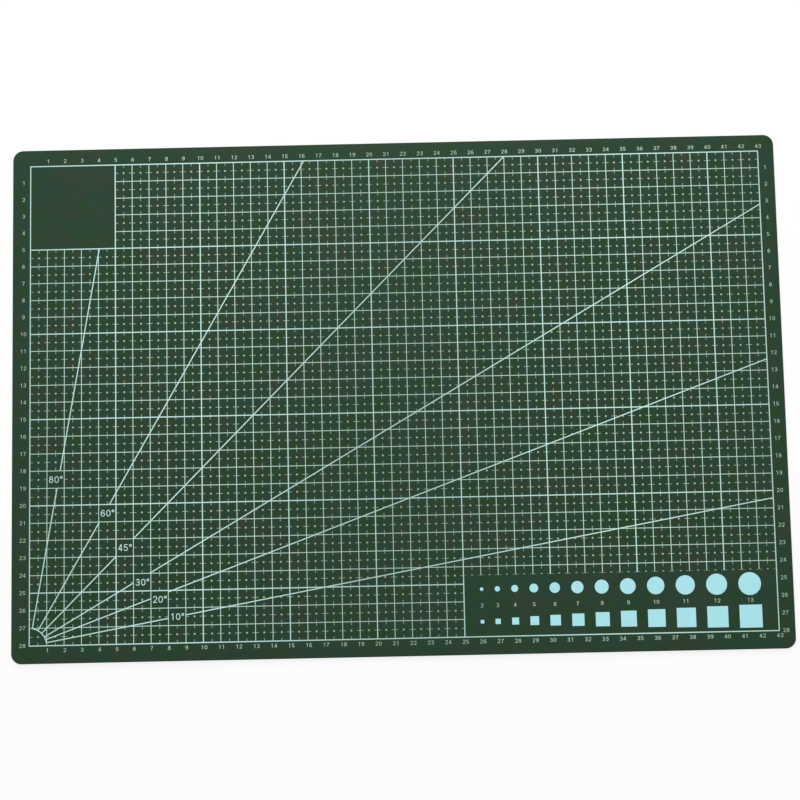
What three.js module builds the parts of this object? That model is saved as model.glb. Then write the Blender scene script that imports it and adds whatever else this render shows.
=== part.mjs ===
// A self-healing craft cutting mat: a white core between two green skins, with a centimetre grid,
// angle lines and a gauge of discs and squares printed on the top skin in pale ink.
// Millimetres, +Z up. The origin is the centre of the underside and +X runs along the long side.

import * as THREE from "three";

// Sheet
const MAT_LENGTH = 450;
const MAT_WIDTH = 300;
const CORNER_RADIUS = 6;
const SKIN_THICKNESS = 1;
const CORE_THICKNESS = 1;

// Printed grid
const INK_THICKNESS = 0.03;
const RULE_PITCH = 10;
const RULES_PER_BOLD = 5;
const FINE_RULE_WIDTH = 0.4;
const BOLD_RULE_WIDTH = 0.6;
const LEAST_MARGIN = 10;
const PRINT_SHIFT_X = 0.5;
const PRINT_SHIFT_Y = 0.3;

// Blank panel in the grid's upper left corner, in cells
const PANEL_COLUMNS = 5;
const PANEL_ROWS = 5;

// Gauge of discs and squares in the grid's lower right corner
const GAUGE_COUNT = 12;
const GAUGE_SMALLEST = 2;
const GAUGE_STEP = 1;
const GAUGE_GAP = 6.5;
const GAUGE_END_MARGIN = 9;
const GAUGE_FOOT_MARGIN = 2;
const GAUGE_NUMERAL_BAND = 5.5;
const GAUGE_HEAD_MARGIN = 1.5;

// Angle lines from the grid's lower left corner, in rising order. Each is broken by the grid cell
// that holds its label, the one that the line crosses labelAt pitches from the corner.
const ANGLE_LINE_WIDTH = 0.6;
const ANGLE_ARC_RADIUS = 10;
const ANGLE_LINES = [
  { degrees: 10, labelAt: 8.6 },
  { degrees: 20, labelAt: 8 },
  { degrees: 30, labelAt: 7.5 },
  { degrees: 45, labelAt: 7.8 },
  { degrees: 60, labelAt: 8.6 },
  { degrees: 80, labelAt: 9.6 },
];

// Share of a pitch that rounding may take off a count of pitches
const ROUNDING_SLACK = 1e-6;

// Smoothness of round outlines: half the number of straight steps on each arc
const CORNER_STEPS = 6;
const FAN_STEPS = 3;
const DISC_STEPS = 20;

const skinGreen = { color: 0x2e4434, roughness: 0.62, metalness: 0 };
const coreWhite = { color: 0xe4e4dc, roughness: 0.55, metalness: 0 };
const paleInk = { color: 0xace4ec, roughness: 0.5, metalness: 0 };

// Heights of the plies and of the three ink films, from the table up
const coreBottom = SKIN_THICKNESS;
const coreTop = coreBottom + CORE_THICKNESS;
const sheetTop = coreTop + SKIN_THICKNESS;
const uprightTop = sheetTop + INK_THICKNESS;
const levelTop = uprightTop + INK_THICKNESS;
const angleTop = levelTop + INK_THICKNESS;

// The grid and its blank panel, measured from the grid's lower left corner
const columns = wholePitches(MAT_LENGTH - 2 * LEAST_MARGIN);
const rows = wholePitches(MAT_WIDTH - 2 * LEAST_MARGIN);
const gridLength = columns * RULE_PITCH;
const gridWidth = rows * RULE_PITCH;
const panelRight = PANEL_COLUMNS * RULE_PITCH;
const panelBottom = gridWidth - PANEL_ROWS * RULE_PITCH;

// The gauge takes as many whole columns as its row of marks needs
const gaugeSizes = Array.from({ length: GAUGE_COUNT }, (_, index) => GAUGE_SMALLEST + index * GAUGE_STEP);
const gaugeLargest = Math.max(...gaugeSizes);
const gaugeRowLength = gaugeSizes.reduce((sum, size) => sum + size + GAUGE_GAP, -GAUGE_GAP);
const gaugeColumns = Math.ceil((gaugeRowLength + 2 * GAUGE_END_MARGIN) / RULE_PITCH);
const gaugeFirstColumn = columns - gaugeColumns;
const gaugeLeft = gaugeFirstColumn * RULE_PITCH;
const squareRow = GAUGE_FOOT_MARGIN + gaugeLargest / 2;
const discRow = squareRow + gaugeLargest + GAUGE_NUMERAL_BAND;
const gaugeTop = discRow + gaugeLargest / 2 + GAUGE_HEAD_MARGIN;

// How many whole pitches fit in a length, where one that falls short by rounding alone still fits
function wholePitches(length) {
  return Math.floor(length / RULE_PITCH + ROUNDING_SLACK);
}

// The sheet's outline, with its four round corners
function sheetOutline() {
  const reachX = MAT_LENGTH / 2 - CORNER_RADIUS;
  const reachY = MAT_WIDTH / 2 - CORNER_RADIUS;
  const quarter = Math.PI / 2;
  return new THREE.Shape()
    .absarc(reachX, reachY, CORNER_RADIUS, 0, quarter)
    .absarc(-reachX, reachY, CORNER_RADIUS, quarter, 2 * quarter)
    .absarc(-reachX, -reachY, CORNER_RADIUS, 2 * quarter, 3 * quarter)
    .absarc(reachX, -reachY, CORNER_RADIUS, 3 * quarter, 4 * quarter);
}

function discOutline(diameter) {
  return new THREE.Shape().absarc(0, 0, diameter / 2, 0, 2 * Math.PI);
}

function squareOutline(width) {
  const half = width / 2;
  return new THREE.Shape()
    .moveTo(-half, -half)
    .lineTo(half, -half)
    .lineTo(half, half)
    .lineTo(-half, half);
}

// An angle line's direction, and the distances from the grid's corner at which it meets its label's
// cell, leaves it again and ends at the border or at the blank panel
function angleStops({ degrees, labelAt }) {
  const angle = THREE.MathUtils.degToRad(degrees);
  const along = new THREE.Vector2(Math.cos(angle), Math.sin(angle));
  const side = new THREE.Vector2(-along.y, along.x).multiplyScalar(ANGLE_LINE_WIDTH / 2);
  const cell = along.clone().multiplyScalar(labelAt).floor();
  const breakStart = Math.max(cell.x / along.x, cell.y / along.y) * RULE_PITCH;
  const breakEnd = Math.min((cell.x + 1) / along.x, (cell.y + 1) / along.y) * RULE_PITCH;
  const atBorder = Math.min(gridLength / along.x, gridWidth / along.y);
  const atPanel = panelBottom / along.y;
  const end = atPanel * along.x < panelRight ? atPanel : atBorder;
  return { angle, along, side, breakStart, breakEnd, end };
}

// The two corners of an angle line's square end, the one on its right first
function lineEnd({ along, side }, distance) {
  const middle = along.clone().multiplyScalar(distance);
  return [middle.clone().sub(side), middle.clone().add(side)];
}

// The small arc and, standing on it, the inner stretch of each angle line up to its label
function fanOutline() {
  const half = ANGLE_LINE_WIDTH / 2;
  const inner = ANGLE_ARC_RADIUS - half;
  const outer = ANGLE_ARC_RADIUS + half;
  const innerLean = Math.asin(half / inner);
  const outerLean = Math.asin(half / outer);
  const spokes = ANGLE_LINES.map(angleStops);
  const first = spokes.at(0).angle;
  const last = spokes.at(-1).angle;
  const outline = new THREE.Shape().absarc(0, 0, inner, last + innerLean, first - innerLean, true);
  spokes.forEach((spoke, index) => {
    const [right, left] = lineEnd(spoke, spoke.breakStart);
    outline.lineTo(right.x, right.y).lineTo(left.x, left.y);
    const next = spokes[index + 1];
    if (next) outline.absarc(0, 0, outer, spoke.angle + outerLean, next.angle - outerLean);
  });
  return outline;
}

// The outer stretch of an angle line, from its label to its end
function outerLineOutline(line) {
  const stops = angleStops(line);
  const [startRight, startLeft] = lineEnd(stops, stops.breakEnd);
  const [endRight, endLeft] = lineEnd(stops, stops.end);
  return new THREE.Shape([startRight, endRight, endLeft, startLeft]);
}

// A rule is bold on the border and every few rules from the grid's upper left corner
function ruleWidth(index, last) {
  const bold = index === last || index % RULES_PER_BOLD === 0;
  return bold ? BOLD_RULE_WIDTH : FINE_RULE_WIDTH;
}

// The stretches of ink that make up a set of rules, each as its left, right, bottom and top edges
function uprightBar(x, width, bottom, top) {
  return { left: x - width / 2, right: x + width / 2, bottom, top };
}

function levelBar(y, width, left, right) {
  return { left, right, bottom: y - width / 2, top: y + width / 2 };
}

// Edges of the printed border, outside its bold rules
const border = {
  left: -BOLD_RULE_WIDTH / 2,
  right: gridLength + BOLD_RULE_WIDTH / 2,
  bottom: -BOLD_RULE_WIDTH / 2,
  top: gridWidth + BOLD_RULE_WIDTH / 2,
};

// Upright rules, which stop above the gauge and below the blank panel, and the rules that join them
function uprightRules() {
  const bars = [0, gridWidth].map((y) => levelBar(y, BOLD_RULE_WIDTH, border.left, border.right));
  for (let column = 0; column <= columns; column++) {
    const overGauge = column > gaugeFirstColumn && column < columns;
    const underPanel = column > 0 && column < PANEL_COLUMNS;
    const bottom = overGauge ? gaugeTop : border.bottom;
    const top = underPanel ? panelBottom : border.top;
    bars.push(uprightBar(column * RULE_PITCH, ruleWidth(column, columns), bottom, top));
  }
  return bars;
}

// Level rules, which start beside the blank panel and stop beside the gauge, and their side rules
function levelRules() {
  const bars = [0, gridLength].map((x) => uprightBar(x, BOLD_RULE_WIDTH, border.bottom, border.top));
  for (let row = 1; row < rows; row++) {
    const y = gridWidth - row * RULE_PITCH;
    const left = row < PANEL_ROWS ? panelRight : border.left;
    const right = y < gaugeTop ? gaugeLeft : border.right;
    bars.push(levelBar(y, ruleWidth(row, rows), left, right));
  }
  return bars;
}

// An outline raised by one unit, which its mesh then stretches to the piece's own thickness
function raised(outline, curveSegments) {
  return new THREE.ExtrudeGeometry(outline, { depth: 1, bevelEnabled: false, curveSegments });
}

// One body of the same unit height over all the bars. Their edges cut the plane into cells: an inked
// cell has a face above and below, and a wall wherever the cell beside it is bare.
function raisedBars(bars) {
  const cuts = (low, high) => {
    const edges = new Set(bars.flatMap((bar) => [bar[low], bar[high]]));
    return [...edges].sort((a, b) => a - b);
  };
  const xs = cuts("left", "right");
  const ys = cuts("bottom", "top");
  const inked = (i, j) =>
    bars.some(
      ({ left, right, bottom, top }) =>
        left <= xs[i] && xs[i + 1] <= right && bottom <= ys[j] && ys[j + 1] <= top,
    );
  const positions = [];
  const face = (a, b, c, d) => positions.push(...a, ...b, ...c, ...a, ...c, ...d);
  const wall = (ax, ay, bx, by) => face([ax, ay, 0], [bx, by, 0], [bx, by, 1], [ax, ay, 1]);
  for (let i = 0; i < xs.length - 1; i++) {
    for (let j = 0; j < ys.length - 1; j++) {
      if (!inked(i, j)) continue;
      const [x0, x1, y0, y1] = [xs[i], xs[i + 1], ys[j], ys[j + 1]];
      face([x0, y0, 1], [x1, y0, 1], [x1, y1, 1], [x0, y1, 1]);
      face([x0, y0, 0], [x0, y1, 0], [x1, y1, 0], [x1, y0, 0]);
      if (!inked(i, j - 1)) wall(x0, y0, x1, y0);
      if (!inked(i + 1, j)) wall(x1, y0, x1, y1);
      if (!inked(i, j + 1)) wall(x1, y1, x0, y1);
      if (!inked(i - 1, j)) wall(x0, y1, x0, y0);
    }
  }
  const geometry = new THREE.BufferGeometry();
  geometry.setAttribute("position", new THREE.Float32BufferAttribute(positions, 3));
  geometry.computeVertexNormals();
  return geometry;
}

// A named piece that fills its raised outline from one height to another
function piece(name, geometry, look, bottom, top) {
  const mesh = new THREE.Mesh(geometry, new THREE.MeshStandardMaterial(look));
  mesh.name = name;
  mesh.position.z = bottom;
  mesh.scale.z = top - bottom;
  return mesh;
}

const plies = new THREE.Group();
const sheet = raised(sheetOutline(), CORNER_STEPS);
plies.add(piece("bottom_skin", sheet, skinGreen, 0, coreBottom));
plies.add(piece("core_sheet", sheet, coreWhite, coreBottom, coreTop));
plies.add(piece("top_skin", sheet, skinGreen, coreTop, sheetTop));

// The print is centred on the sheet but for a small shift, and its films lie on one another
const print = new THREE.Group();
print.position.set(PRINT_SHIFT_X - gridLength / 2, PRINT_SHIFT_Y - gridWidth / 2, 0);
print.add(piece("upright_rules", raisedBars(uprightRules()), paleInk, sheetTop, uprightTop));
print.add(piece("level_rules", raisedBars(levelRules()), paleInk, uprightTop, levelTop));
print.add(piece("angle_fan", raised(fanOutline(), FAN_STEPS), paleInk, levelTop, angleTop));
for (const line of ANGLE_LINES) {
  const geometry = raised(outerLineOutline(line));
  print.add(piece(`angle_line_${line.degrees}`, geometry, paleInk, levelTop, angleTop));
}

// Discs above squares of the same size, with equal gaps, centred in the gauge's width
let markLeft = (gaugeLeft + gridLength - gaugeRowLength) / 2;
gaugeSizes.forEach((size, index) => {
  const number = String(index + 1).padStart(2, "0");
  const discShape = raised(discOutline(size), DISC_STEPS);
  const disc = piece(`gauge_disc_${number}`, discShape, paleInk, sheetTop, uprightTop);
  const squareShape = raised(squareOutline(size));
  const square = piece(`gauge_square_${number}`, squareShape, paleInk, sheetTop, uprightTop);
  disc.position.y = discRow;
  square.position.y = squareRow;
  const marks = new THREE.Group();
  marks.position.x = markLeft + size / 2;
  marks.add(disc, square);
  print.add(marks);
  markLeft += size + GAUGE_GAP;
});

const mat = new THREE.Group();
mat.name = "cutting_mat";
mat.add(plies, print);

export default mat;
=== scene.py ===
"""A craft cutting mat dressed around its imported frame: three bonded plies, the print on the top one
and a plain stage. Lengths are metres, +Z is up and +X runs along the mat's long side."""

import math
from collections import namedtuple
from functools import cache

import bpy
from bpy.props import FloatProperty, FloatVectorProperty, IntProperty, PointerProperty
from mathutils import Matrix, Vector
from mathutils.geometry import delaunay_2d_cdt


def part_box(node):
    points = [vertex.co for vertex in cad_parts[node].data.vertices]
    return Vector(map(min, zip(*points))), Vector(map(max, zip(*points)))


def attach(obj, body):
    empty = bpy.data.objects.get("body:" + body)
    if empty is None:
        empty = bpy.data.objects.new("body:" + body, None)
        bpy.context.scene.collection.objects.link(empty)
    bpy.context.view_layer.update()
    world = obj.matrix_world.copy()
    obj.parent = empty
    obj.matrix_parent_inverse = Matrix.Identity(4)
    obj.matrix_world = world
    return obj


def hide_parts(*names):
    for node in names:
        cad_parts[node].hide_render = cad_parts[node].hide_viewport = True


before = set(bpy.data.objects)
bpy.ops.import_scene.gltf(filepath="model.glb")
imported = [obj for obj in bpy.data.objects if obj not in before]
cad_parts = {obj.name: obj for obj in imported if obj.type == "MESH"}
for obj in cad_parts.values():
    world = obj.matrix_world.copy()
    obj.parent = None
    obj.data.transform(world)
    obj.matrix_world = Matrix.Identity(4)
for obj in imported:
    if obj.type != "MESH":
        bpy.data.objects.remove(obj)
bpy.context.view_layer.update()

bl_info = {
    "name": "Cutting Mat",
    "version": (1, 0, 0),
    "blender": (4, 5, 0),
    "location": "View3D > Sidebar > Cutting Mat",
    "description": "Makes a craft cutting mat of bonded plies with a printed centimetre grid",
    "category": "Object",
}

MM = 0.001
BODY = "root"

# The frame's nodes. A name that ends in _ is how the names of several nodes begin
TOP_SKIN_NODE = "top_skin"
CORE_NODE = "core_sheet"
BOTTOM_SKIN_NODE = "bottom_skin"
UPRIGHT_RULES_NODE = "upright_rules"
LEVEL_RULES_NODE = "level_rules"
ANGLE_FAN_NODE = "angle_fan"
ANGLE_LINE_NODE = "angle_line_"
GAUGE_DISC_NODE = "gauge_disc_"
GAUGE_SQUARE_NODE = "gauge_square_"

# The ink's tones: each is a finish, and a colour that a user may change
SOLID_INK = "solid_ink"
BOLD_INK = "bold_ink"
FINE_INK = "fine_ink"
MARK_INK = "mark_ink"
DOT_INK = "dot_ink"

WHITE = (1.0, 1.0, 1.0, 1.0)

# The name of the map that each print piece is laid out on, as it is seen from above
BAKE_MAP = "OFBake"


# Properties


def size(name, description, millimetres):
    """A length that a user may change, given in millimetres and held in metres."""
    return FloatProperty(
        name=name,
        description=description,
        default=millimetres * MM,
        min=0.0,
        precision=5,
        subtype="DISTANCE",
        unit="LENGTH",
    )


def count(name, description, number):
    """A whole number that a user may change."""
    return IntProperty(name=name, description=description, default=number, min=1)


def share(name, description, number):
    """A number without a unit that a user may change."""
    return FloatProperty(name=name, description=description, default=number, min=0.0)


def colour(name, description, red, green, blue):
    """A linear colour that a user may change."""
    return FloatVectorProperty(
        name=name,
        description=description,
        default=(red, green, blue, 1.0),
        size=4,
        min=0.0,
        max=1.0,
        subtype="COLOR",
    )


class SheetSettings(bpy.types.PropertyGroup):
    """Sizes of the plies beyond those that the frame gives."""

    corner_radius: size("Corner radius", "Radius of the sheet's four corners", 6.0)
    corner_steps: count("Corner steps", "Straight steps round each corner", 16)
    rim_radius: size("Rim radius", "Rounding of the sheet's upper and lower rim", 0.35)
    rim_steps: count("Rim steps", "Straight steps across the rounded rim", 5)
    bond_bevel: size("Bond bevel", "Bevel of a ply's edge beside the next ply", 0.05)


class PrintSettings(bpy.types.PropertyGroup):
    """Sizes of the printed grid, its marks and its numerals."""

    pitch: size("Pitch", "Distance from one rule to the next", 10.0)
    rules_per_bold: count("Rules per bold", "Every so many rules one is bold", 5)
    fine_rule: size("Fine rule", "Width of a fine rule", 0.4)
    bold_rule: size("Bold rule", "Width of a bold rule", 0.6)
    panel_cells: count("Panel cells", "Cells along each side of the blank panel", 5)
    gauge_columns: count("Gauge columns", "Columns of cells that the gauge takes", 18)
    gauge_height: size("Gauge height", "Height of the gauge above the lower border", 35.0)
    dot: size("Dot", "Diameter of the dot in the middle of a cell", 1.12)
    dash_length: size("Dash length", "Length of a dash across a rule", 3.7)
    dash_width: size("Dash width", "Width of a dash across a rule", 0.2)
    angle_line: size("Angle line", "Width of an angle line", 0.6)
    arc_radius: size("Arc radius", "Radius of the arc that the angle lines start from", 10.0)
    edge_numeral: size("Edge numeral", "Height of the numerals round the grid", 2.3)
    gauge_numeral: size("Gauge numeral", "Height of the numerals of the gauge", 2.25)
    angle_numeral: size("Angle numeral", "Height of the numerals on the angle lines", 3.9)
    angle_shift: size("Angle shift", "How far an angle's label stands right of its cell's middle", 0.6)
    numeral_weight: share("Numeral weight", "Stroke of a small numeral as a share of its height", 0.097)
    angle_weight: share("Angle weight", "Stroke of an angle's numeral as a share of its height", 0.11)
    numeral_stretch: share("Numeral stretch", "How much wider than plain the small numerals are", 1.12)
    angle_stretch: share("Angle stretch", "How much wider than plain the angles' numerals are", 1.05)
    level_gap: size("Level gap", "From the border to the middle of the upper and lower numerals", 2.85)
    side_gap: size("Side gap", "From the border to the middle of the numerals at the sides", 4.05)
    numeral_shift: size("Numeral shift", "How far a numeral stands to the right of its rule", 0.4)
    numeral_rise: size("Numeral rise", "How far a numeral stands above its place", 0.2)
    shoulder: size("Ink shoulder", "How far the ink's edge leans in towards its top", 0.01)


class ColourSettings(bpy.types.PropertyGroup):
    """Colours of the plies, the ink and the floor."""

    skin: colour("Skin", "Green of the two outer plies", 0.0149, 0.0485, 0.0155)
    skin_dull: colour("Dull skin", "Browner green in the skin's faint clouds", 0.0291, 0.0430, 0.0273)
    skin_cool: colour("Cool skin", "Bluer green in the skin's faint clouds", 0.0169, 0.0480, 0.0299)
    skin_cut: colour("Skin cut", "Green of the skin's cut edge", 0.012, 0.038, 0.017)
    core: colour("Core", "White of the middle ply", 0.76, 0.76, 0.71)
    core_streak: colour("Core streak", "Grey of the blade's streaks on the core", 0.58, 0.58, 0.53)
    solid_ink: colour("Solid ink", "Ink of the gauge's discs and squares", 0.416, 0.795, 0.862)
    bold_ink: colour("Bold ink", "Ink of the bold rules, angle lines and labels", 0.56, 0.83, 0.775)
    fine_ink: colour("Fine ink", "Ink of the fine rules", 0.546, 0.78, 0.676)
    mark_ink: colour("Mark ink", "Ink of the dashes and the small numerals", 0.535, 0.775, 0.597)
    dot_ink: colour("Dot ink", "Ink of the dots", 0.36, 0.516, 0.365)
    floor: colour("Floor", "Pale floor under the mat", 0.95, 0.95, 0.94)


class FinishSettings(bpy.types.PropertyGroup):
    """Scale and strength of what the finishes show."""

    pebble: size("Pebble", "Width of a pebble in the skin's grain", 0.5)
    fleck: size("Fleck", "Width of the small flecks in the skin's dull clouds", 4.0)
    swell: size("Swell", "Width of the broad swells in the skin's dull clouds", 30.0)
    cloud: size("Cloud", "Width of the skin's cool clouds", 9.0)
    streak: size("Streak", "Width of the blade's streaks on a cut edge", 0.4)
    scuff: size("Scuff", "Width of the scuffs on the core's edge", 5.0)
    patch: size("Patch", "Width of the patches where the ink lies thin", 4.0)
    sweep: size("Sweep", "Length of the sweeps along the mat in which thin marks turn faint", 262.0)
    relief: size("Relief", "Height of the grain and of the streaks", 0.05)
    ink_relief: size("Ink relief", "Height of the grain that shows in the ink", 0.03)
    skin_bump: share("Skin bump", "How strongly the skin's grain shows", 0.6)
    core_bump: share("Core bump", "How strongly the core's streaks show", 0.4)
    ink_bump: share("Ink bump", "How strongly the grain shows in the ink", 0.2)
    skin_roughness: share("Skin roughness", "Roughness of the skin", 0.62)
    pebble_swing: share("Pebble swing", "How far the roughness swings among the pebbles", 0.16)
    swell_swing: share("Swell swing", "How far the roughness swings among the swells", 0.1)
    cut_gloss: share("Cut gloss", "How much less rough the skin's cut edge is", 0.12)
    core_roughness: share("Core roughness", "Roughness of the core", 0.45)
    streak_roughness: share("Streak roughness", "How much rougher the core's streaks are", 0.2)
    ink_roughness: share("Ink roughness", "Roughness of the ink", 0.46)
    thin_roughness: share("Thin roughness", "How much rougher the ink is where it lies thin", 0.14)
    thin_show: share("Thin show", "How far the skin shows where the ink lies thin", 0.1)
    sweep_show: share("Sweep show", "How far the skin shows in the middle of a sweep", 0.28)
    skin_gloss: share("Skin gloss", "Specular level of the skin", 0.1)
    core_gloss: share("Core gloss", "Specular level of the core", 0.4)
    ink_gloss: share("Ink gloss", "Specular level of the ink", 0.35)


class StageSettings(bpy.types.PropertyGroup):
    """The camera, the light and the floor."""

    camera_place: FloatVectorProperty(
        name="Camera place",
        description="Where the camera stands",
        default=(2.579 * MM, -48.276 * MM, 635.997 * MM),
        subtype="TRANSLATION",
        unit="LENGTH",
    )
    camera_turn: FloatVectorProperty(
        name="Camera turn",
        description="How the camera is turned from looking straight down",
        default=(math.radians(4.1128), math.radians(0.2187), math.radians(-1.2099)),
        subtype="EULER",
    )
    nearest_seen: size("Nearest seen", "The camera sees nothing nearer than this", 1.0)
    focal_length: FloatProperty(
        name="Focal length",
        description="Focal length of the lens in millimetres, on a sensor 36 mm wide",
        default=49.0541,
        min=1.0,
        unit="CAMERA",
    )
    sky_strength: share("Sky strength", "Strength of the even light from all round", 0.6)
    lamp_power: FloatProperty(
        name="Lamp power",
        description="Power of the broad lamp beyond the far edge",
        default=7.8,
        min=0.0,
        unit="POWER",
    )
    lamp_size: size("Lamp size", "Side of the broad square lamp", 800.0)
    lamp_place: FloatVectorProperty(
        name="Lamp place",
        description="Where the middle of the broad lamp hangs",
        default=(0.0, 700 * MM, 800 * MM),
        subtype="TRANSLATION",
        unit="LENGTH",
    )
    floor_size: size("Floor size", "Side of the square floor", 6000.0)
    floor_glow: share("Floor glow", "How far the floor that is looked at goes to white", 0.8)


class MatSettings(bpy.types.PropertyGroup):
    """All that a user may change on the mat and its stage."""

    sheet: PointerProperty(type=SheetSettings)
    grid: PointerProperty(type=PrintSettings)
    colours: PointerProperty(type=ColourSettings)
    finish: PointerProperty(type=FinishSettings)
    stage: PointerProperty(type=StageSettings)


def mat_settings():
    """The settings of the mat in the open scene."""
    return bpy.context.scene.cutting_mat


# Shader expressions

# How many finer layers a noise has, from smooth grain to ragged clouds
SMOOTH_DETAIL = 1.0
PLAIN_DETAIL = 2.0
RAGGED_DETAIL = 3.0

# The value that a noise swings round
NOISE_MIDDLE = 0.5

# What a height counts for in the blade's streaks: the smaller, the longer they are drawn out
STREAK_SQUEEZE = 0.05


class Wire:
    """A shader socket that takes part in expressions: each operator adds the Math node it stands for."""

    def __init__(self, shader, socket):
        self.shader = shader
        self.socket = socket

    def math(self, operation, first, second):
        inputs = {"Value": first, "Value_001": second}
        return self.shader.node("ShaderNodeMath", {"operation": operation}, inputs)

    def __add__(self, other):
        return self.math("ADD", self, other)

    def __radd__(self, other):
        return self.math("ADD", other, self)

    def __sub__(self, other):
        return self.math("SUBTRACT", self, other)

    def __rsub__(self, other):
        return self.math("SUBTRACT", other, self)

    def __mul__(self, other):
        return self.math("MULTIPLY", self, other)

    def __rmul__(self, other):
        return self.math("MULTIPLY", other, self)


class Shader:
    """A node tree that is written from its coordinates to its surface."""

    def __init__(self, owner):
        owner.use_nodes = True
        self.owner = owner
        self.tree = owner.node_tree
        self.tree.nodes.clear()

    def node(self, kind, settings=None, inputs=None, output=None):
        """Adds a node, sets it up, fills or links its inputs by identifier and returns one output."""
        node = self.tree.nodes.new(kind)
        for name, value in (settings or {}).items():
            setattr(node, name, value)
        sockets = {socket.identifier: socket for socket in node.inputs}
        for name, value in (inputs or {}).items():
            if isinstance(value, Wire):
                self.tree.links.new(value.socket, sockets[name])
            else:
                sockets[name].default_value = value
        found = [socket for socket in node.outputs if output in (None, socket.identifier)]
        return Wire(self, found[0]) if found else None

    def place(self):
        """The point that is shaded, in metres."""
        return self.node("ShaderNodeTexCoord", output="Object")

    def stretched(self, place, x, y, z):
        """A place with each of its axes multiplied."""
        inputs = {"Vector": place, "Vector_001": (x, y, z)}
        return self.node("ShaderNodeVectorMath", {"operation": "MULTIPLY"}, inputs, "Vector")

    def noise(self, place, blotch, detail=PLAIN_DETAIL):
        """Soft noise whose blotches are about so wide."""
        inputs = {"Vector": place, "Scale": 1.0 / blotch, "Detail": detail}
        return self.node("ShaderNodeTexNoise", inputs=inputs, output="Fac")

    def streaks(self, place, blotch, detail=PLAIN_DETAIL):
        """Noise drawn out from top to bottom, as a blade leaves it on a cut edge."""
        return self.noise(self.stretched(place, 1.0, 1.0, STREAK_SQUEEZE), blotch, detail)

    def stepped(self, value, edges):
        """Rises smoothly from 0 to 1 as a value goes from the low edge to the high one."""
        low, high = edges
        inputs = {"Value": value, "From Min": low, "From Max": high}
        return self.node("ShaderNodeMapRange", {"interpolation_type": "SMOOTHSTEP"}, inputs, "Result")

    def swept(self, place, length):
        """1 in the mat's middle, falling to 0 and rising again along X, once in each such length."""
        along = self.node("ShaderNodeSeparateXYZ", inputs={"Vector": place}, output="X")
        turn = along * (2 * math.pi / length)
        wave = self.node("ShaderNodeMath", {"operation": "COSINE"}, {"Value": turn})
        return wave * 0.5 + 0.5

    def mixed(self, factor, first, second):
        """One colour going over into another."""
        inputs = {"Factor_Float": factor, "A_Color": first, "B_Color": second}
        return self.node("ShaderNodeMix", {"data_type": "RGBA"}, inputs, "Result_Color")

    def cut_side(self):
        """1 where a face stands upright, as a cut edge does, and 0 where it lies flat."""
        normal = self.node("ShaderNodeNewGeometry", output="Normal")
        upright = self.node("ShaderNodeSeparateXYZ", inputs={"Vector": normal}, output="Z")
        return 1.0 - upright * upright

    def bump(self, height, strength, distance):
        """The normal of a surface raised by a height."""
        inputs = {"Strength": strength, "Distance": distance, "Height": height}
        return self.node("ShaderNodeBump", inputs=inputs)

    def plastic(self, base, roughness, normal, specular):
        """A plain plastic surface."""
        inputs = {
            "Base Color": base,
            "Roughness": roughness,
            "Normal": normal,
            "Specular IOR Level": specular,
        }
        return self.node("ShaderNodeBsdfPrincipled", inputs=inputs)

    def surface(self, wire, output="ShaderNodeOutputMaterial"):
        """Ends the tree in its surface and returns what it belongs to."""
        self.node(output, inputs={"Surface": wire})
        return self.owner


def blended(first, second, second_share):
    """Two noises in one, of which the second has so large a share."""
    return first * (1.0 - second_share) + second * second_share


def swung(noise, width):
    """A noise as a swing about zero, so wide."""
    return (noise - NOISE_MIDDLE) * width


def finish_named(name, make):
    """The finish of that name, made once."""
    return bpy.data.materials.get(name) or make(Shader(bpy.data.materials.new(name)))


# Finishes

# The share of the second noise where two are blended
SWELL_SHARE = 0.4
SCUFF_SHARE = 0.3
PATCH_SHARE = 0.4

# The noise at which a cloud, a streak or a thin place begins, and at which it is full
DULL_EDGES = (0.36, 0.64)
COOL_EDGES = (0.35, 0.7)
STREAK_EDGES = (0.45, 0.75)
THIN_EDGES = (0.45, 0.7)


def skin_finish(shader):
    """Matte green plastic: faint clouds of colour, a fine pebbled grain and a smoother cut edge."""
    colours, finish = mat_settings().colours, mat_settings().finish
    place = shader.place()
    fleck = shader.noise(place, finish.fleck, RAGGED_DETAIL)
    swell = shader.noise(place, finish.swell)
    dull = shader.stepped(blended(fleck, swell, SWELL_SHARE), DULL_EDGES)
    cool = shader.stepped(shader.noise(place, finish.cloud, RAGGED_DETAIL), COOL_EDGES)
    pebble = shader.noise(place, finish.pebble, SMOOTH_DETAIL)
    streak = shader.streaks(place, finish.streak)
    side = shader.cut_side()
    browned = shader.mixed(dull, colours.skin, colours.skin_dull)
    clouded = shader.mixed(cool, browned, colours.skin_cool)
    base = shader.mixed(side, clouded, colours.skin_cut)
    uneven = swung(pebble, finish.pebble_swing) + swung(swell, finish.swell_swing)
    roughness = finish.skin_roughness + uneven - side * finish.cut_gloss
    grain = pebble * (1.0 - side) + streak * side
    normal = shader.bump(grain, finish.skin_bump, finish.relief)
    return shader.surface(shader.plastic(base, roughness, normal, finish.skin_gloss))


def core_finish(shader):
    """Hard white plastic, streaked from top to bottom by the blade that cut the sheet out."""
    colours, finish = mat_settings().colours, mat_settings().finish
    place = shader.place()
    streak = shader.streaks(place, finish.streak, RAGGED_DETAIL)
    scuff = shader.noise(place, finish.scuff)
    marks = shader.stepped(blended(streak, scuff, SCUFF_SHARE), STREAK_EDGES)
    base = shader.mixed(marks, colours.core, colours.core_streak)
    roughness = finish.core_roughness + marks * finish.streak_roughness
    normal = shader.bump(streak, finish.core_bump, finish.relief)
    return shader.surface(shader.plastic(base, roughness, normal, finish.core_gloss))


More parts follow.
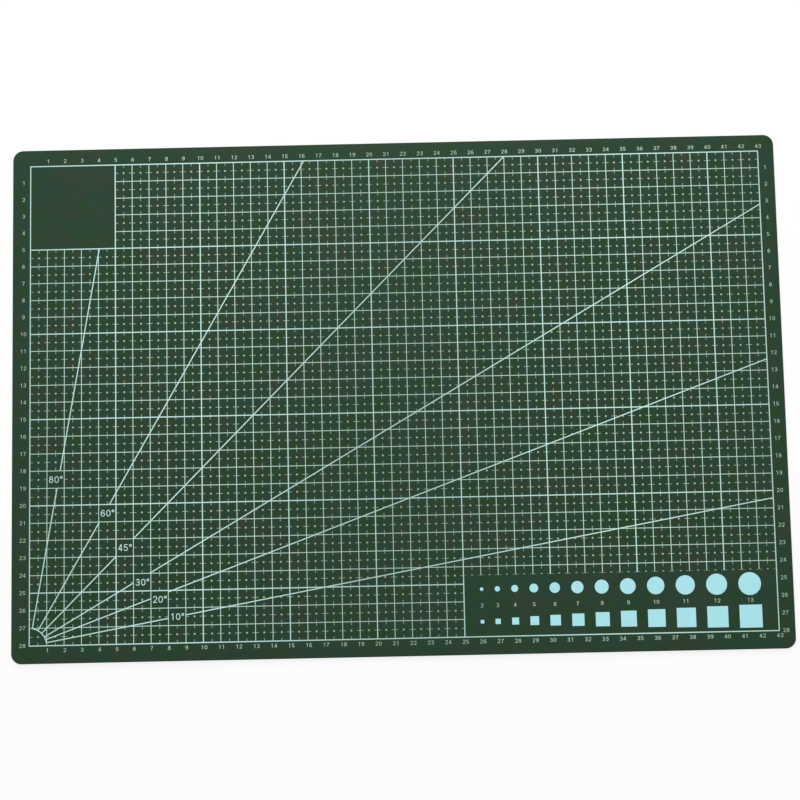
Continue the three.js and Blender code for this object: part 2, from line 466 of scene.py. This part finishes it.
def ink_finish(tone):
    """Pale printed ink in one of its tones. The skin shows through where the ink lies thinner: in the
    hollows of the skin's grain and, on thin marks, in broad sweeps along the mat."""

    def make(shader):
        colours, finish = mat_settings().colours, mat_settings().finish
        place = shader.place()
        pebble = shader.noise(place, finish.pebble, SMOOTH_DETAIL)
        patch = shader.noise(place, finish.patch)
        thin = shader.stepped(blended(pebble, patch, PATCH_SHARE), THIN_EDGES)
        lack = thin * finish.thin_show
        if tone != SOLID_INK:
            lack = lack + shader.swept(place, finish.sweep) * finish.sweep_show
        base = shader.mixed(lack, getattr(colours, tone), colours.skin)
        roughness = finish.ink_roughness + thin * finish.thin_roughness
        normal = shader.bump(pebble, finish.ink_bump, finish.ink_relief)
        return shader.surface(shader.plastic(base, roughness, normal, finish.ink_gloss))

    return finish_named(tone, make)


def looked_at(shader):
    """1 on rays that show a surface to the camera, also by a reflection or through glass."""
    rays = ("Is Camera Ray", "Is Glossy Ray", "Is Transmission Ray")
    seen, *others = [shader.node("ShaderNodeLightPath", output=ray) for ray in rays]
    for other in others:
        seen = seen + other
    return seen


def floor_finish(shader):
    """A pale floor that goes towards white where it is looked at and still takes a shadow."""
    settings = mat_settings()
    lit = shader.node("ShaderNodeBsdfDiffuse", inputs={"Color": settings.colours.floor})
    white = shader.node("ShaderNodeEmission")
    mix = {"Fac": looked_at(shader) * settings.stage.floor_glow, "Shader": lit, "Shader_001": white}
    return shader.surface(shader.node("ShaderNodeMixShader", inputs=mix))


# Plies

# Faces that meet at more than this angle keep a crisp edge between them
SHARP_ANGLE = math.radians(35)


def new_piece(name, points, faces, finish, nodes):
    """Adds a mesh that belongs to the mat, wears a finish and stands for some of the frame's nodes."""
    if not faces:
        raise RuntimeError(f"{name} has no faces")
    mesh = bpy.data.meshes.new(name)
    mesh.from_pydata(points, [], faces)
    mesh.materials.append(finish)
    piece = bpy.data.objects.new(name, mesh)
    bpy.context.scene.collection.objects.link(piece)
    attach(piece, BODY)
    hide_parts(*nodes)
    return piece


def round_rim(radius, steps):
    """A rounded rim as insets and depths, from the flat face to the edge."""
    turns = [step / steps * math.pi / 2 for step in range(steps + 1)]
    return [(radius * (1 - math.sin(turn)), radius * (1 - math.cos(turn))) for turn in turns]


def bevelled_rim(bevel):
    """A bevelled rim as insets and depths, from the flat face to the edge."""
    return [(bevel, 0.0), (0.0, bevel)]


def ply_mesh(node, lower_rim, upper_rim, sheet):
    """Points and faces of a ply: rings round its edge from its lower face to its upper one, and the
    two faces, each a middle, four sides and four corner fans round the corners' centres."""
    low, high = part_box(node)
    reach = Vector((high.x - low.x, high.y - low.y)) / 2
    middle = Vector((high.x + low.x, high.y + low.y)) / 2
    signs = [Vector((1, 1)), Vector((-1, 1)), Vector((-1, -1)), Vector((1, -1))]
    inner = reach - Vector((sheet.corner_radius, sheet.corner_radius))
    centres = [middle + sign * inner for sign in signs]
    steps = sheet.corner_steps
    quarter = math.pi / 2

    def ring(inset, height):
        radius = sheet.corner_radius - inset
        for corner, centre in enumerate(centres):
            for step in range(steps + 1):
                turn = (corner + step / steps) * quarter
                yield (centre.x + radius * math.cos(turn), centre.y + radius * math.sin(turn), height)

    rim = [(inset, low.z + depth) for inset, depth in lower_rim]
    rim += [(inset, high.z - depth) for inset, depth in reversed(upper_rim)]
    points = [point for inset, height in rim for point in ring(inset, height)]
    round_count = len(centres) * (steps + 1)
    faces = []
    for level in range(len(rim) - 1):
        first = level * round_count
        for i in range(round_count):
            j = (i + 1) % round_count
            faces.append((first + i, first + j, first + round_count + j, first + round_count + i))

    def flat_face(first, height, upwards):
        hub = len(points)
        points.extend((centre.x, centre.y, height) for centre in centres)
        found = [tuple(range(hub, hub + len(centres)))]
        for corner in range(len(centres)):
            start = first + corner * (steps + 1)
            after = first + (corner + 1) % len(centres) * (steps + 1)
            found += [(hub + corner, start + step, start + step + 1) for step in range(steps)]
            found.append((hub + corner, start + steps, after, hub + (corner + 1) % len(centres)))
        faces.extend(found if upwards else [face[::-1] for face in found])

    flat_face(0, low.z, upwards=False)
    flat_face((len(rim) - 1) * round_count, high.z, upwards=True)
    return points, faces


def add_ply(name, node, lower_rim, upper_rim, finish):
    """Adds one ply of the sheet, smooth round its corners and rims and crisp at its bevels."""
    points, faces = ply_mesh(node, lower_rim, upper_rim, mat_settings().sheet)
    piece = new_piece(name, points, faces, finish, [node])
    piece.data.shade_smooth()
    piece.data.set_sharp_from_angle(angle=SHARP_ANGLE)


# Print

# Degrees from point to point along a pen's curve or a dot, along the arc and round a disc
PEN_TURN = 18.0
ARC_TURN = 2.0
DISC_TURN = 5.0

# Shares of the pen's width within which a path's ends, and the corners of its strokes, are one point
CLOSED_PATH = 0.01
SAME_CORNER = 0.001

# A step that is small beside a cell, to tell on which side of an edge something lies
NUDGE = 0.1 * MM

# How a row of characters is written: their height, the pen's share of it and how much wider they are
Hand = namedtuple("Hand", "height weight stretch")


class Ink:
    """Inked areas drawn flat in the grid's frame: points, and faces that turn to the left."""

    def __init__(self):
        self.points = []
        self.faces = []

    def stamp(self, points, faces, at=(0.0, 0.0), scale=(1.0, 1.0)):
        """Prints a drawing at a place, at a scale along each axis."""
        first = len(self.points)
        self.points += [(at[0] + scale[0] * x, at[1] + scale[1] * y) for x, y in points]
        self.faces += [[first + index for index in face] for face in faces]

    def polygon(self, points):
        """Prints one area with a convex outline."""
        self.stamp(points, [range(len(points))])

    def bar(self, left, right, bottom, top):
        """Prints an upright rectangle, unless nothing of it is left."""
        if left < right and bottom < top:
            self.polygon([(left, bottom), (right, bottom), (right, top), (left, top)])

    def bars(self, bars, cut_by=()):
        """Prints bars that cross as one area, made of cells along all of their edges, and leaves out
        what other bars cover."""
        xs = sorted({edge for bar in (*bars, *cut_by) for edge in bar[:2]})
        ys = sorted({edge for bar in (*bars, *cut_by) for edge in bar[2:]})
        column_of = {x: index for index, x in enumerate(xs)}
        row_of = {y: index for index, y in enumerate(ys)}

        def covered(some):
            return {
                (column, row)
                for left, right, bottom, top in some
                for column in range(column_of[left], column_of[right])
                for row in range(row_of[bottom], row_of[top])
            }

        cells = covered(bars) - covered(cut_by)
        around = [(0, 0), (1, 0), (1, 1), (0, 1)]
        corners = sorted({(column + i, row + j) for column, row in cells for i, j in around})
        number = {corner: index for index, corner in enumerate(corners)}
        points = [(xs[column], ys[row]) for column, row in corners]
        faces = [[number[column + i, row + j] for i, j in around] for column, row in sorted(cells)]
        self.stamp(points, faces)

    def write(self, text, middle, hand):
        """Prints a row of characters round its middle."""
        broad = hand.stretch * hand.height
        width = ((len(text) - 1) * DIGIT_ADVANCE + DIGIT_WIDTH) * broad
        x, y = middle[0] - width / 2, middle[1] - hand.height / 2
        for place, character in enumerate(text):
            points, faces = written(character, hand.weight)
            self.stamp(points, faces, (x + place * DIGIT_ADVANCE * broad, y), (broad, hand.height))

    def raised(self, origin, thickness, shoulder):
        """Points and faces of a closed film on the areas, whose edges lean in towards its top."""
        edges = {(face[i - 1], face[i]) for face in self.faces for i in range(len(face))}
        rim = [(a, b) for a, b in edges if (b, a) not in edges]
        inwards = {}
        for a, b in sorted(rim):
            along = (Vector(self.points[b]) - Vector(self.points[a])).normalized()
            left = Vector((-along.y, along.x))
            inwards.setdefault(a, []).append(left)
            inwards.setdefault(b, []).append(left)
        points = [(origin.x + x, origin.y + y, origin.z) for x, y in self.points]
        # A point that the rim passes once leans in. One where two areas meet at their corners stays
        for index, (x, y, z) in enumerate(list(points)):
            lean = Vector((0.0, 0.0))
            if len(inwards.get(index, ())) == 2:
                first, second = inwards[index]
                lean = (first + second) * (shoulder / (1.0 + first.dot(second)))
            points.append((x + lean.x, y + lean.y, z + thickness))
        up = len(self.points)
        faces = [[up + index for index in face] for face in self.faces]
        faces += [face[::-1] for face in self.faces]
        faces += [[a, b, up + b, up + a] for a, b in sorted(rim)]
        return points, faces


def oval(x, y, radius_x, radius_y, start=0.0, end=360.0, step=PEN_TURN):
    """Points along an oval from one angle to another, so many degrees apart."""
    steps = max(2, round(abs(end - start) / step))
    turns = [math.radians(start + (end - start) * turn / steps) for turn in range(steps + 1)]
    return [(x + radius_x * math.cos(turn), y + radius_y * math.sin(turn)) for turn in turns]


def circle(x, y, radius, step=PEN_TURN):
    """Points round a circle, each once, turning to the left."""
    return oval(x, y, radius, radius, step=step)[1:]


def upside_down(paths):
    """Pen strokes turned by half a turn in the box of a digit."""
    return [[(DIGIT_WIDTH - x, 1.0 - y) for x, y in path] for path in paths]


# A plain upright hand without serifs: the middle lines of its pen strokes, in a box 1 high
DIGIT_WIDTH = 0.64
DIGIT_ADVANCE = 0.78
SIX = [oval(0.325, 0.31, 0.245, 0.245), oval(0.36, 0.42, 0.285, 0.515, 185, 50)]
CHARACTERS = {
    "0": [oval(0.32, 0.5, 0.255, 0.435)],
    "1": [[(0.37, 0.0), (0.37, 1.0)], [(0.13, 0.75), (0.26, 0.81), (0.35, 0.96)]],
    "2": [oval(0.32, 0.69, 0.245, 0.245, 172, -40) + [(0.08, 0.07)], [(0.03, 0.065), (0.6, 0.065)]],
    "3": [
        oval(0.31, 0.73, 0.22, 0.205, 162, -90),
        oval(0.31, 0.295, 0.25, 0.23, 90, -165),
        [(0.21, 0.525), (0.32, 0.525)],
    ],
    "4": [[(0.455, 0.0), (0.455, 1.0)], [(0.03, 0.27), (0.62, 0.27)], [(0.43, 0.95), (0.08, 0.28)]],
    "5": [
        [(0.11, 0.935), (0.56, 0.935)],
        [(0.15, 0.95), (0.1, 0.48)],
        oval(0.305, 0.32, 0.255, 0.255, 140, -160),
    ],
    "6": SIX,
    "7": [[(0.04, 0.935), (0.6, 0.935)], oval(0.731, 0.0, 0.486, 0.979, 110, 180)],
    "8": [oval(0.32, 0.735, 0.205, 0.2), oval(0.32, 0.3, 0.25, 0.235)],
    "9": upside_down(SIX),
    "°": [oval(0.19, 0.81, 0.14, 0.14)],
}


def ribbon(path, width):
    """The four-sided steps of a pen stroke along a path, each turning to the left."""
    closed = (Vector(path[0]) - Vector(path[-1])).length < width * CLOSED_PATH
    spots = [Vector(point) for point in (path[:-1] if closed else path)]
    steps = len(spots) if closed else len(spots) - 1
    lefts = []
    for step in range(steps):
        along = (spots[(step + 1) % len(spots)] - spots[step]).normalized()
        lefts.append(Vector((-along.y, along.x)))
    sides = []
    for index, spot in enumerate(spots):
        before = lefts[index - 1] if closed or index > 0 else lefts[0]
        after = lefts[index] if index < steps else lefts[-1]
        side = (before + after) * (width / 2 / (1.0 + before.dot(after)))
        sides.append((spot - side, spot + side))
    quads = []
    for step in range(steps):
        (right, left), (next_right, next_left) = sides[step], sides[(step + 1) % len(spots)]
        quads.append([right, next_right, next_left, left])
    return quads


def stroked(paths, width):
    """One area over all the pen strokes along some paths, as points and triangles."""
    corners, outlines = [], []
    for path in paths:
        for quad in ribbon(path, width):
            outlines.append(list(range(len(corners), len(corners) + len(quad))))
            corners += quad
    merge_within = width * SAME_CORNER
    points, _, faces, _, _, inked_by = delaunay_2d_cdt(corners, [], outlines, 0, merge_within)
    inked = [face for face, owners in zip(faces, inked_by) if owners]
    used = sorted({index for face in inked for index in face})
    number = {index: place for place, index in enumerate(used)}
    return [tuple(points[index]) for index in used], [[number[i] for i in face] for face in inked]


@cache
def written(character, weight):
    """The area of one character 1 high, drawn with a pen so wide."""
    return stroked(CHARACTERS[character], weight)


def nodes_named(start):
    """The frame's nodes whose names start with some words, in order."""
    return sorted(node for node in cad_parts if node.startswith(start))


class Grid:
    """Where the print lies: its corner on the sheet, its rules and its cells."""

    def __init__(self, settings):
        low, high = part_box(UPRIGHT_RULES_NODE)
        half = settings.bold_rule / 2
        self.settings = settings
        self.pitch = settings.pitch
        self.corner = Vector((low.x + half, low.y + half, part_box(TOP_SKIN_NODE)[1].z))
        self.columns = round((high.x - low.x - 2 * half) / self.pitch)
        self.rows = round((high.y - low.y - 2 * half) / self.pitch)
        self.width = self.columns * self.pitch
        self.height = self.rows * self.pitch
        self.gauge_column = self.columns - settings.gauge_columns
        self.panel_row = self.rows - settings.panel_cells
        self.angle_lines = [AngleLine(self, node) for node in nodes_named(ANGLE_LINE_NODE)]

    def on_grid(self, node):
        """The lowest and highest corners of a node in the grid's frame."""
        low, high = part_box(node)
        return (low - self.corner).to_2d(), (high - self.corner).to_2d()

    def bold_column(self, column):
        """An upright rule is bold on the border and every few rules from the left."""
        return column == self.columns or column % self.settings.rules_per_bold == 0

    def bold_row(self, row):
        """A level rule is bold on the border and every few rules from the top."""
        return row == 0 or (self.rows - row) % self.settings.rules_per_bold == 0

    def rule_width(self, bold):
        return self.settings.bold_rule if bold else self.settings.fine_rule

    def column_width(self, column):
        return self.rule_width(self.bold_column(column))

    def row_width(self, row):
        return self.rule_width(self.bold_row(row))

    def in_panel(self, column, row):
        return column < self.settings.panel_cells and row >= self.panel_row

    def marked_cells(self):
        """The cells that hold a dot and dashes, each with the height below which nothing is printed."""
        labels = {line.cell for line in self.angle_lines}
        for column in range(self.columns):
            floor = self.settings.gauge_height if column >= self.gauge_column else 0.0
            for row in range(self.rows):
                above_gauge = (row + 0.5) * self.pitch >= floor - NUDGE
                if above_gauge and not self.in_panel(column, row) and (column, row) not in labels:
                    yield column, row, floor


class AngleLine:
    """An angle line of the frame: its direction, its label's cell and the ends of its two stretches."""

    def __init__(self, grid, node):
        low, high = grid.on_grid(node)
        self.node = node
        self.degrees = int(node.removeprefix(ANGLE_LINE_NODE))
        turn = math.radians(self.degrees)
        self.along = Vector((math.cos(turn), math.sin(turn)))
        overhang = Vector((self.along.y, self.along.x)) * (grid.settings.angle_line / 2)
        self.start = low + overhang
        self.end = high - overhang
        inside = self.start - self.along * NUDGE
        self.cell = (int(inside.x // grid.pitch), int(inside.y // grid.pitch))
        column, row = self.cell
        reach = max(column / self.along.x, row / self.along.y) * grid.pitch
        self.inner_end = self.along * reach

    def label_middle(self, grid):
        column, row = self.cell
        return (column + 0.5) * grid.pitch + grid.settings.angle_shift, (row + 0.5) * grid.pitch


def rule_bars(grid):
    """The bold and the fine rules as left, right, bottom and top edges. Upright ones stop above the
    gauge and below the blank panel, level ones beside them."""
    settings = grid.settings
    half = settings.bold_rule / 2
    panel_right = settings.panel_cells * grid.pitch
    bold, fine = [], []
    for column in range(grid.columns + 1):
        x, width = column * grid.pitch, grid.column_width(column)
        over_gauge = grid.gauge_column < column < grid.columns
        under_panel = 0 < column < settings.panel_cells
        bottom = settings.gauge_height if over_gauge else -half
        top = grid.panel_row * grid.pitch if under_panel else grid.height + half
        bars = bold if grid.bold_column(column) else fine
        bars.append((x - width / 2, x + width / 2, bottom, top))
    for row in range(grid.rows + 1):
        y, width = row * grid.pitch, grid.row_width(row)
        beside_panel = grid.panel_row < row < grid.rows
        beside_gauge = 0 < row and y < settings.gauge_height
        left = panel_right if beside_panel else -half
        right = grid.gauge_column * grid.pitch if beside_gauge else grid.width + half
        bars = bold if grid.bold_row(row) else fine
        bars.append((left, right, y - width / 2, y + width / 2))
    return bold, fine


def add_print(name, ink, tone, grid, top_node, nodes=()):
    """Adds a print piece: a film of ink on the skin, as high as a node of the frame."""
    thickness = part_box(top_node)[1].z - grid.corner.z
    points, faces = ink.raised(grid.corner, thickness, grid.settings.shoulder)
    piece = new_piece(name, points, faces, ink_finish(tone), nodes)
    lay_map(piece.data)


def lay_map(mesh):
    """Lays the mesh's map out as the piece is seen from above."""
    xs = [vertex.co.x for vertex in mesh.vertices]
    ys = [vertex.co.y for vertex in mesh.vertices]
    left, bottom = min(xs), min(ys)
    width, height = max(xs) - left, max(ys) - bottom
    places = mesh.uv_layers.new(name=BAKE_MAP).uv
    for loop, place in zip(mesh.loops, places):
        place.vector = (
            (xs[loop.vertex_index] - left) / width,
            (ys[loop.vertex_index] - bottom) / height,
        )


# Operators


class MAT_OT_bond_plies(bpy.types.Operator):
    """Makes the two green skins and the white core between them"""

    bl_idname = "mat.bond_plies"
    bl_label = "Bond the plies"

    def execute(self, context):
        sheet = context.scene.cutting_mat.sheet
        skin = finish_named("green_skin", skin_finish)
        core = finish_named("white_core", core_finish)
        rim = round_rim(sheet.rim_radius, sheet.rim_steps)
        bond = bevelled_rim(sheet.bond_bevel)
        add_ply("bottom_ply", BOTTOM_SKIN_NODE, rim, bond, skin)
        add_ply("core_ply", CORE_NODE, bond, bond, core)
        add_ply("top_ply", TOP_SKIN_NODE, bond, rim, skin)
        return {"FINISHED"}


class MAT_OT_print_rules(bpy.types.Operator):
    """Prints the bold rules with the border, and the fine rules between them"""

    bl_idname = "mat.print_rules"
    bl_label = "Print the rules"

    def execute(self, context):
        grid = Grid(context.scene.cutting_mat.grid)
        nodes = [UPRIGHT_RULES_NODE, LEVEL_RULES_NODE]
        bold_bars, fine_bars = rule_bars(grid)
        bold, fine = Ink(), Ink()
        bold.bars(bold_bars)
        fine.bars(fine_bars, cut_by=bold_bars)
        add_print("bold_rules", bold, BOLD_INK, grid, LEVEL_RULES_NODE, nodes)
        add_print("fine_rules", fine, FINE_INK, grid, LEVEL_RULES_NODE, nodes)
        return {"FINISHED"}


class MAT_OT_print_cell_marks(bpy.types.Operator):
    """Prints a dot in the middle of each cell and half a dash inwards from each of its sides"""

    bl_idname = "mat.print_cell_marks"
    bl_label = "Print the cell marks"

    def execute(self, context):
        settings = context.scene.cutting_mat.grid
        grid = Grid(settings)
        half_width = settings.dash_width / 2
        reach = settings.dash_length / 2
        radius = settings.dot / 2
        dots, dashes = Ink(), Ink()
        for column, row, floor in grid.marked_cells():
            left, bottom = column * grid.pitch, row * grid.pitch
            right, top = left + grid.pitch, bottom + grid.pitch
            x, y = (left + right) / 2, (bottom + top) / 2
            cut = y - radius < floor
            dots.polygon(oval(x, y, radius, radius, 0, 180) if cut else circle(x, y, radius))
            level = max(y - half_width, floor), y + half_width
            dashes.bar(left + grid.column_width(column) / 2, left + reach, *level)
            dashes.bar(right - reach, right - grid.column_width(column + 1) / 2, *level)
            upright = x - half_width, x + half_width
            dashes.bar(*upright, max(bottom + grid.row_width(row) / 2, floor), bottom + reach)
            dashes.bar(*upright, top - reach, top - grid.row_width(row + 1) / 2)
        add_print("half_centimetre_dots", dots, DOT_INK, grid, UPRIGHT_RULES_NODE)
        add_print("half_centimetre_dashes", dashes, MARK_INK, grid, UPRIGHT_RULES_NODE)
        return {"FINISHED"}


class MAT_OT_print_angle_lines(bpy.types.Operator):
    """Prints the angle lines, the arc that they start from and their labels"""

    bl_idname = "mat.print_angle_lines"
    bl_label = "Print the angle lines"

    def execute(self, context):
        settings = context.scene.cutting_mat.grid
        grid = Grid(settings)
        lines = grid.angle_lines
        first, last = lines[0].degrees, lines[-1].degrees
        arc = oval(0.0, 0.0, settings.arc_radius, settings.arc_radius, first, last, ARC_TURN)
        spokes = [[line.along * settings.arc_radius, line.inner_end] for line in lines]
        fan = Ink()
        fan.stamp(*stroked([arc, *spokes], settings.angle_line))
        add_print("angle_fan_ink", fan, BOLD_INK, grid, ANGLE_FAN_NODE, [ANGLE_FAN_NODE])
        hand = Hand(settings.angle_numeral, settings.angle_weight, settings.angle_stretch)
        labels = Ink()
        for line in lines:
            outer = Ink()
            outer.stamp(*stroked([[line.start, line.end]], settings.angle_line))
            add_print(f"{line.node}_ink", outer, BOLD_INK, grid, line.node, [line.node])
            labels.write(f"{line.degrees}°", line.label_middle(grid), hand)
        add_print("angle_labels", labels, BOLD_INK, grid, UPRIGHT_RULES_NODE)
        return {"FINISHED"}


class MAT_OT_print_gauge(bpy.types.Operator):
    """Prints the gauge of discs and squares with their sizes between them"""

    bl_idname = "mat.print_gauge"
    bl_label = "Print the gauge"

    def execute(self, context):
        settings = context.scene.cutting_mat.grid
        grid = Grid(settings)
        discs, squares = nodes_named(GAUGE_DISC_NODE), nodes_named(GAUGE_SQUARE_NODE)
        row = (grid.on_grid(squares[-1])[1].y + grid.on_grid(discs[-1])[0].y) / 2
        hand = Hand(settings.gauge_numeral, settings.numeral_weight, settings.numeral_stretch)
        numerals = Ink()
        for disc_node, square_node in zip(discs, squares):
            low, high = grid.on_grid(disc_node)
            middle, radius = (low + high) / 2, (high.x - low.x) / 2
            disc = Ink()
            disc.polygon(circle(middle.x, middle.y, radius, DISC_TURN))
            add_print(f"{disc_node}_ink", disc, SOLID_INK, grid, disc_node, [disc_node])
            low, high = grid.on_grid(square_node)
            square = Ink()
            square.bar(low.x, high.x, low.y, high.y)
            add_print(f"{square_node}_ink", square, SOLID_INK, grid, square_node, [square_node])
            millimetres = round(2 * radius / MM)
            numerals.write(str(millimetres), (middle.x, row), hand)
        add_print("gauge_numerals", numerals, MARK_INK, grid, UPRIGHT_RULES_NODE)
        return {"FINISHED"}


class MAT_OT_print_edge_numerals(bpy.types.Operator):
    """Prints the rows of numerals along the four sides of the grid"""

    bl_idname = "mat.print_edge_numerals"
    bl_label = "Print the edge numerals"

    def execute(self, context):
        settings = context.scene.cutting_mat.grid
        grid = Grid(settings)
        shift, rise = settings.numeral_shift, settings.numeral_rise
        along = [(str(number), number * grid.pitch + shift) for number in range(1, grid.columns + 1)]
        down = [
            (str(number), grid.height - number * grid.pitch + rise)
            for number in range(1, grid.rows + 1)
        ]
        below, above = rise - settings.level_gap, rise + grid.height + settings.level_gap
        before, beyond = -settings.side_gap, grid.width + settings.side_gap
        rows = {
            "upper_numerals": [(text, (x, above)) for text, x in along],
            "lower_numerals": [(text, (x, below)) for text, x in along],
            "left_numerals": [(text, (before, y)) for text, y in down],
            "right_numerals": [(text, (beyond, y)) for text, y in down],
        }
        hand = Hand(settings.edge_numeral, settings.numeral_weight, settings.numeral_stretch)
        for name, numerals in rows.items():
            ink = Ink()
            for text, middle in numerals:
                ink.write(text, middle, hand)
            add_print(name, ink, MARK_INK, grid, UPRIGHT_RULES_NODE)
        return {"FINISHED"}


class MAT_OT_set_stage(bpy.types.Operator):
    """Sets the camera, the light and the pale floor"""

    bl_idname = "mat.set_stage"
    bl_label = "Set the stage"

    def execute(self, context):
        scene = context.scene
        stage = scene.cutting_mat.stage
        scene.view_settings.view_transform = "Standard"
        add_camera(scene, stage)
        add_lamp(scene, stage)
        add_sky(scene, stage)
        add_floor(scene, stage)
        return {"FINISHED"}


def add_camera(scene, stage):
    """A camera that looks down on the mat as the photograph does."""
    camera = bpy.data.objects.new("camera", bpy.data.cameras.new("camera"))
    camera.location = stage.camera_place
    camera.rotation_euler = stage.camera_turn
    camera.data.lens = stage.focal_length
    camera.data.sensor_fit = "HORIZONTAL"
    camera.data.clip_start = stage.nearest_seen
    scene.collection.objects.link(camera)
    scene.camera = camera


def add_lamp(scene, stage):
    """A broad lamp turned to the mat's middle."""
    lamp = bpy.data.objects.new("broad_lamp", bpy.data.lights.new("broad_lamp", "AREA"))
    lamp.data.energy = stage.lamp_power
    lamp.data.size = stage.lamp_size
    lamp.location = stage.lamp_place
    lamp.rotation_euler = (-Vector(stage.lamp_place)).to_track_quat("-Z", "Y").to_euler()
    scene.collection.objects.link(lamp)


def add_sky(scene, stage):
    """Even white light from all round. Where it is looked at it is as pale as the far floor."""
    sky = Shader(bpy.data.worlds.new("pale_sky"))
    lit_floor = max(scene.cutting_mat.colours.floor[:3]) * stage.sky_strength
    far_floor = stage.floor_glow + (1.0 - stage.floor_glow) * lit_floor
    light = sky.node("ShaderNodeBackground", inputs={"Color": WHITE, "Strength": stage.sky_strength})
    seen = sky.node("ShaderNodeBackground", inputs={"Color": WHITE, "Strength": far_floor})
    mix = {"Fac": looked_at(sky), "Shader": light, "Shader_001": seen}
    scene.world = sky.surface(sky.node("ShaderNodeMixShader", inputs=mix), "ShaderNodeOutputWorld")


def add_floor(scene, stage):
    """A level floor that the mat lies on."""
    half = stage.floor_size / 2
    corners = [(-half, -half, 0), (half, -half, 0), (half, half, 0), (-half, half, 0)]
    mesh = bpy.data.meshes.new("floor")
    mesh.from_pydata(corners, [], [range(len(corners))])
    mesh.materials.append(finish_named("pale_floor", floor_finish))
    floor = bpy.data.objects.new("floor", mesh)
    scene.collection.objects.link(floor)


class MAT_PT_cutting_mat(bpy.types.Panel):
    """Lists the mat's sizes, colours and steps."""

    bl_label = "Cutting Mat"
    bl_space_type = "VIEW_3D"
    bl_region_type = "UI"
    bl_category = "Cutting Mat"

    def draw(self, context):
        settings = context.scene.cutting_mat
        groups = (settings.sheet, settings.grid, settings.colours, settings.finish, settings.stage)
        for group in groups:
            box = self.layout.box()
            for name in type(group).__annotations__:
                box.prop(group, name)
        for operator in OPERATORS:
            self.layout.operator(operator.bl_idname)


GROUPS = (
    SheetSettings,
    PrintSettings,
    ColourSettings,
    FinishSettings,
    StageSettings,
    MatSettings,
)
OPERATORS = (
    MAT_OT_set_stage,
    MAT_OT_bond_plies,
    MAT_OT_print_rules,
    MAT_OT_print_cell_marks,
    MAT_OT_print_angle_lines,
    MAT_OT_print_gauge,
    MAT_OT_print_edge_numerals,
)
CLASSES = (*GROUPS, *OPERATORS, MAT_PT_cutting_mat)


def register():
    for cls in CLASSES:
        bpy.utils.register_class(cls)
    bpy.types.Scene.cutting_mat = PointerProperty(type=MatSettings)


def unregister():
    del bpy.types.Scene.cutting_mat
    for cls in reversed(CLASSES):
        bpy.utils.unregister_class(cls)


def main():
    register()
    bpy.ops.mat.set_stage()
    bpy.ops.mat.bond_plies()
    bpy.ops.mat.print_rules()
    bpy.ops.mat.print_cell_marks()
    bpy.ops.mat.print_angle_lines()
    bpy.ops.mat.print_gauge()
    bpy.ops.mat.print_edge_numerals()


if __name__ == "__main__":
    main()
